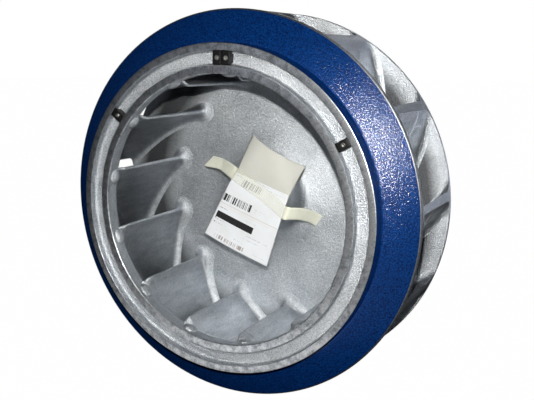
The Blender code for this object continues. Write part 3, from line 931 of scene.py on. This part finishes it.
def makeWeight(place, degrees):
    shape = weightShape
    turn = math.radians(degrees)
    inner, outer = ringShape["grooveInner"], ringShape["grooveOuter"]
    middle = (inner + outer) / 2.0
    centre = (middle * math.cos(turn), middle * math.sin(turn))
    angle = np.linspace(0.0, 2.0 * np.pi, shape["steps"], endpoint=False)
    top = wheel["frontHeight"] - shape["faceDrop"]
    floor = wheel["frontHeight"] - ringShape["grooveDepth"] + shape["gap"]
    halfWidth = (outer - inner) / 2.0 - shape["gap"]
    halfLength = shape["length"] / 2.0
    edge = shape["edge"]
    hole = shape["screwRadius"] + shape["holeGap"]
    holeFloor = floor + shape["holeFloor"]
    chamfer = shape["holeChamfer"]
    circle = np.ones_like(angle)

    def box(inset, narrow=0.0):
        return roundedRectangle(halfWidth - inset - narrow, halfLength - inset, edge, angle)

    radii = np.stack((circle * 0.0, circle * hole, circle * hole, circle * (hole + chamfer),
                      box(edge), box(edge * 0.3), box(0.0), box(0.0, shape["taper"] * 0.3),
                      box(0.0, shape["taper"]), circle * 0.0))
    heights = (holeFloor, holeFloor, top - chamfer, top, top, top - edge * 0.3, top - edge,
               (top + floor) / 2.0, floor, floor)
    weight = polarSolid(f"balance_weight_{place}_skin", radii, heights, angle, centre, turn, "black")
    fit(weight, "blackened_steel", f"balance_weight_{place}")

    screwTop = wheel["frontHeight"] - shape["screwDrop"]
    radius = shape["screwRadius"]
    sixth = math.pi / 3.0
    hexagon = shape["socketReach"] / np.cos((angle + sixth / 2.0) % sixth - sixth / 2.0)
    rim = shape["screwEdge"]
    socketFloor = screwTop - shape["socketDepth"]
    # The socket's bottom is dished, and its mouth opens a little
    radii = np.stack((circle * 0.0, hexagon * 0.9, hexagon, hexagon * 1.12, circle * (radius - rim),
                      circle * radius, circle * radius, circle * 0.0))
    heights = (socketFloor - 0.0005, socketFloor, screwTop - 0.0002, screwTop, screwTop,
               screwTop - rim, floor, floor)
    turn += shape["screwTurn"]
    screw = polarSolid(f"grub_screw_{place}_skin", radii, heights, angle, centre, turn, "zinc")
    fit(screw, "zinc_plated_steel", f"grub_screw_{place}")


for place, degrees in weightShape["angles"].items():
    makeWeight(place, degrees)
print("balance weights made")


# Scribed ticks and scratches on the machined face: start radius and angle, end radius and
# angle (mm and degrees), width (mm)
scribes = [
    (174.5, 91.80, 180.2, 91.80, 0.55),
    (174.5, 83.65, 180.2, 83.65, 0.55),
    (179.8, 81.20, 177.2, 76.70, 0.70),
    (204.6, 140.30, 199.4, 140.45, 0.60),
    (204.0, 144.10, 199.6, 144.35, 0.60),
    (206.4, 112.10, 203.6, 112.00, 0.60),
    (174.0, 27.30, 180.0, 27.30, 0.50),
    (174.0, 31.20, 180.0, 31.20, 0.50),
]
scribeDepth = 0.0004


def makeScribes():
    # Each mark is a thin bar: its two ends, half its width to both sides, just proud of the face
    table = np.array(scribes)
    start, end = [np.stack((table[:, i] * np.cos(np.radians(table[:, i + 1])),
                            table[:, i] * np.sin(np.radians(table[:, i + 1]))), axis=1) / 1000.0
                  for i in (0, 2)]
    heading = (end - start) / np.linalg.norm(end - start, axis=1)[:, None]
    sideways = np.stack((-heading[:, 1], heading[:, 0]), axis=1) * table[:, 4:5] / 2000.0
    outline = np.stack((start - sideways, end - sideways, end + sideways, start + sideways), axis=1)
    levels = (wheel["frontHeight"] - scribeDepth, wheel["frontHeight"])
    vertices = [toFrame(outline[..., 0], outline[..., 1], level) for level in levels]
    vertices = np.concatenate(vertices, axis=1)
    faces = np.array(((0, 1, 2, 3), (7, 6, 5, 4), (4, 5, 1, 0), (5, 6, 2, 1), (6, 7, 3, 2), (7, 4, 0, 3)))
    faces = faces[None] + 8 * np.arange(len(table))[:, None, None]
    mesh = bpy.data.meshes.new("scribe_marks")
    mesh.from_pydata(vertices.reshape(-1, 3), [], faces.reshape(-1, 4))
    mesh.materials.append(finishes["scratched"])
    shape = bmesh.new()
    shape.from_mesh(mesh)
    bmesh.ops.recalc_face_normals(shape, faces=shape.faces)
    shape.to_mesh(mesh)
    shape.free()
    piece = bpy.data.objects.new("scribe_marks", mesh)
    bpy.context.scene.collection.objects.link(piece)
    fit(piece, "machined_aluminium")


makeScribes()


sheetShape = {
    "down": (0.0, 0.36, 0.47, 1.0),    # shares of the length at which both edges are given
    "left": ((-0.0129, 0.0858), (-0.0285, 0.0390), (-0.0415, 0.0215), (-0.0801, -0.0537)),
    "right": ((0.0625, 0.0463), (0.0485, 0.0064), (0.0440, -0.0065), (0.0155, -0.0924)),
    "bend": 0.36,
    "rest": -0.0647,                   # middle of the sheet where it lies on the hub
    "droop": (0.0188, 0.0068, 0.0253),   # how far the top edge hangs: left, middle, right
    "sideSag": 0.0020,
    "rise": (0.0037, 0.0042, -0.0022),   # how far the bottom edge stands up: left, middle, right
    "thickness": 0.0008,
    "formTop": (0.383, 0.334),         # the form's upper edge, at the left and the right
    "formFoot": 0.998,
    "formSides": (0.004, 0.992),       # its left edge and its width as shares of the sheet's
    "formLift": 0.0005,
    "formThickness": 0.0002,
    "cockle": 0.0002,
    "columns": 60,
    "rows": 96,
}


def parabola(values, across):
    # Runs through the values given for the left side, the middle and the right side
    left, middle, right = values
    side = 2.0 * across - 1.0
    return middle + (right - left) / 2.0 * side + ((left + right) / 2.0 - middle) * side ** 2


def sheetPoint(across, down, lift=0.0):
    # Straight lines between the stations down both edges, and straight across. The height is
    # the hub's, less a fall to the top edge that is cubic in the middle and nearly straight at
    # the sides, a sag of both sides by the bend, plus a square rise to the bottom edge and a
    # faint cockle.
    shape = sheetShape
    left, right = np.array(shape["left"]), np.array(shape["right"])
    edges = [[np.interp(down, shape["down"], edge[:, i]) for i in range(2)] for edge in (left, right)]
    x, y = [edges[0][i] + (edges[1][i] - edges[0][i]) * across for i in range(2)]
    above = np.clip(1.0 - down / shape["bend"], 0.0, 1.0)
    below = np.clip((down - shape["bend"]) / (1.0 - shape["bend"]), 0.0, 1.0)
    side = (2.0 * across - 1.0) ** 2
    sag = shape["sideSag"] * side ** 2 * (1.0 - below) ** 2 * (1.0 - above)
    fall = above ** (3.0 - 1.7 * side)
    height = (shape["rest"] + lift - parabola(shape["droop"], across) * fall - sag
              + parabola(shape["rise"], across) * below ** 2)
    height = height + shape["cockle"] * np.sin(9.0 * across + 4.0 * down) * np.sin(7.0 * down + 1.0)
    return toFrame(x, y, height)


def thicken(piece, thickness):
    # Gives an open surface its thickness, half to each side
    solidify = piece.modifiers.new("thickness", "SOLIDIFY")
    solidify.thickness = thickness
    solidify.offset = 0.0


def makeDocument():
    shape = sheetShape
    across = np.linspace(0.0, 1.0, shape["columns"])[None, :]
    down = np.linspace(0.0, 1.0, shape["rows"])[:, None]
    across, down = np.broadcast_arrays(across, down)
    uv = np.stack((across, down), axis=-1)
    backing = gridObject("document_backing", sheetPoint(across, down), ["backing"], uv=uv, solid=False)
    thicken(backing, shape["thickness"])
    fit(backing, "paper", "document_sheet")

    topLeft, topRight = shape["formTop"]
    top = topLeft + (topRight - topLeft) * across
    formDown = top + (shape["formFoot"] - top) * np.linspace(0.0, 1.0, shape["rows"])[:, None]
    formLeft, formWidth = shape["formSides"]
    formAcross = formLeft + formWidth * across
    uv = np.stack((formAcross, formDown), axis=-1)
    form = gridObject("printed_form", sheetPoint(formAcross, formDown, shape["formLift"]), ["form"],
                      uv=uv, solid=False)
    thicken(form, shape["formThickness"])
    fit(form, "paper")


makeDocument()


tapeShape = {
    # Upper and lower edge of the strip: x, y and height above the plate's floor, in mm. The
    # left end has come unstuck and hangs free, the right end is stuck to the mound.
    "edges": (
        (-91.0, 50.0, 23.5, -108.0, 34.3, 22.0),
        (-76.0, 50.0, 32.0, -88.5, 34.5, 31.0),
        (-61.0, 48.7, 41.0, -71.8, 34.0, 39.5),
        (-44.0, 46.5, 54.5, -54.0, 30.5, 53.0),
        (-28.2, 42.0, 64.0, -37.9, 25.9, 64.2),
        (-15.0, 35.2, 65.2, -25.0, 18.5, 65.2),
        (10.0, 21.0, 65.2, 1.5, 3.5, 65.2),
        (33.0, 6.0, 65.2, 26.0, -12.0, 65.2),
        (47.5, -5.4, 64.0, 40.7, -23.4, 64.0),
        (55.5, -7.8, 54.0, 48.2, -25.2, 54.0),
        (60.8, -10.3, 42.0, 54.0, -27.0, 42.0),
        (66.5, -16.5, 24.0, 58.5, -32.5, 24.0),
        (70.2, -22.5, 11.0, 61.2, -38.2, 11.2),
        (72.7, -26.9, 4.5, 63.0, -42.4, 4.8),
    ),
    "thickness": 0.0003,
    "pucker": 0.00015,
    "steps": 120,
    "columns": 10,
}


def smoothRoute(points, share):
    # Catmull-Rom curve: each span between two points takes its slopes from their neighbours
    points = np.array(points)
    spans = len(points) - 1
    index = np.minimum((share * spans).astype(int), spans - 1)
    t = (share * spans - index)[:, None]
    before = points[np.maximum(index - 1, 0)]
    start, end = points[index], points[index + 1]
    after = points[np.minimum(index + 2, spans)]
    return 0.5 * (2.0 * start + (end - before) * t + (2.0 * before - 5.0 * start + 4.0 * end - after) * t ** 2
                  + (3.0 * start - before - 3.0 * end + after) * t ** 3)


def makeTape():
    # Both edges are smooth curves through their points, and the strip runs straight between
    # them. A pucker of two sine waves, along and across, is added to its height.
    shape = tapeShape
    share = np.linspace(0.0, 1.0, shape["steps"])
    edges = smoothRoute(np.array(shape["edges"]) / 1000.0, share)
    upper, lower = edges[:, None, :3], edges[:, None, 3:]
    across = np.linspace(0.0, 1.0, shape["columns"])[None, :, None]
    place = upper + (lower - upper) * across
    pucker = shape["pucker"] * np.sin(60.0 * share)[:, None] * np.sin(5.0 * across[..., 0] - 2.5)
    points = toFrame(place[..., 0], place[..., 1], plateShape["floor"] + place[..., 2] + pucker)
    middle = (upper + lower)[:, 0] / 2.0
    length = np.concatenate(((0.0,), np.cumsum(np.linalg.norm(np.diff(middle, axis=0), axis=1))))
    width = np.linalg.norm(upper - lower, axis=-1)
    uv = np.stack(np.broadcast_arrays(length[:, None], width * across[..., 0]), axis=-1)
    tape = gridObject("tape_skin", points, ["tape"], uv=uv, solid=False)
    thicken(tape, shape["thickness"])
    fit(tape, "masking_tape", "tape_strip")


makeTape()
print("papers made")


view = {
    "place": (0.49140, -0.91296, 0.18872),
    "turn": (79.7084, 0.0, 27.3148),
    "lens": 52.532,
    "sensor": 36.0,
}

camera = bpy.data.objects.new("camera", bpy.data.cameras.new("camera"))
camera.location = view["place"]
camera.rotation_euler = [math.radians(angle) for angle in view["turn"]]
camera.data.lens = view["lens"]
camera.data.sensor_width = view["sensor"]
bpy.context.scene.collection.objects.link(camera)
bpy.context.scene.camera = camera


studio = {
    "floorColour": "#ffffff",
    "floorSeen": 0.995,                # the floor's even brightness in the picture
    "paintedFloorGlow": 1.35,                # its painted glow in reflections close to the wheel: a pool of light that no lamp casts
    "floorFade": 0.15,                 # m from the centre to where that has halved
    "floorCentre": (-0.07, -0.27),
    "floorShadeToGlow": (-0.12, -0.24),      # painted shade under the wheel, where its shadow falls, and the painted glow in front of it
    "floorSize": 30.0,
    "worldSeen": 1.0,
    "worldLight": 0.01,
}

# Area lights: place, the point it faces, size, watts and colour. The key is small and close to
# the lens, as the photo's flash is, so its shadows are hard. The panels are soft.
lights = {
    "key": ((0.4728, -0.9033, 0.2829), (0.0, 0.0, 0.0), (0.018, 0.018), 13.9, "#fffdf8"),
    "frontPanel": ((-0.75, -1.75, 0.25), (0.0, 0.0, 0.0), (0.30, 0.5), 0.5, "#e6eeff"),
    "backPanel": ((-0.5, 2.2, 0.4), (0.0, 0.0, 0.0), (1.4, 1.0), 9.0, "#f4f7ff"),
    "sidePanel": ((2.0, 1.05, 0.35), (0.24, 0.0, 0.0), (1.2, 1.2), 17.0, "#eef3ff"),
}


def makeLight(name, place, target, size, power, colour):
    light = bpy.data.lights.new(name, "AREA")
    light.shape = "RECTANGLE"
    light.size, light.size_y = size
    light.energy = power
    light.color = hexColour(colour)[:3]
    lamp = bpy.data.objects.new(name, light)
    lamp.location = place
    direction = np.array(target) - np.array(place)
    flat = math.hypot(direction[0], direction[1])
    # The lamp shines down its own -Z axis, which is tilted and then turned towards the target
    tilt = math.atan2(flat, -direction[2])
    turn = math.atan2(direction[1], direction[0]) - math.pi / 2.0
    lamp.rotation_euler = (tilt, 0.0, turn)
    bpy.context.scene.collection.objects.link(lamp)


for name, (place, target, size, power, colour) in lights.items():
    makeLight(name, place, target, size, power, colour)

floorLevel = cadBox[0].z
half = studio["floorSize"] / 2.0
floorMesh = bpy.data.meshes.new("floor")
floorMesh.from_pydata([(-half, -half, floorLevel), (half, -half, floorLevel), (half, half, floorLevel),
                       (-half, half, floorLevel)], [], [(0, 1, 2, 3)])
floorMaterial, floorTree, floorShader = startMaterial("paleFloor", {
    "Base Color": (0.0, 0.0, 0.0, 1.0), "Roughness": 1.0, "Specular IOR Level": 0.0,
    "Emission Color": hexColour(studio["floorColour"])})
floorRays = addNode(floorTree, "ShaderNodeLightPath")
floorPlace = addNode(floorTree, "ShaderNodeTexCoord").outputs["Object"]
floorParts = addNode(floorTree, "ShaderNodeSeparateXYZ", {0: floorPlace})
floorReach = addNode(floorTree, "ShaderNodeVectorMath", {
    0: floorPlace, 1: (*studio["floorCentre"], floorLevel)}, operation="DISTANCE").outputs["Value"]
floorShadeToGlow = ramp(floorTree, floorParts.outputs["Y"], *studio["floorShadeToGlow"], 0.0, studio["paintedFloorGlow"])
# The painted glow falls off as 1 / (1 + (distance / half distance) squared)
floorShare = calculate(floorTree, "DIVIDE", floorReach, studio["floorFade"])
floorFade = calculate(floorTree, "ADD", calculate(floorTree, "POWER", floorShare, 2.0), 1.0)
floorDim = calculate(floorTree, "DIVIDE", floorShadeToGlow, floorFade)
floorGlow = mixValues(floorTree, floorRays.outputs["Is Camera Ray"], floorDim, studio["floorSeen"])
floorTree.links.new(floorGlow, floorShader.inputs["Emission Strength"])
floorMesh.materials.append(floorMaterial)
floor = bpy.data.objects.new("floor", floorMesh)
# Only reflections see the painted pool of light and the painted shade under the wheel: rough surfaces get no
# light from the floor
floor.visible_diffuse = False
bpy.context.scene.collection.objects.link(floor)

world = bpy.data.worlds.new("studio")
world.use_nodes = True
background = world.node_tree.nodes["Background"]
rays = addNode(world.node_tree, "ShaderNodeLightPath")
strength = mixValues(
    world.node_tree, rays.outputs["Is Camera Ray"], studio["worldLight"], studio["worldSeen"])
world.node_tree.links.new(strength, background.inputs["Strength"])
background.inputs["Color"].default_value = (1.0, 1.0, 1.0, 1.0)
bpy.context.scene.world = world
bpy.context.scene.view_settings.view_transform = "Standard"
print("camera and studio made")
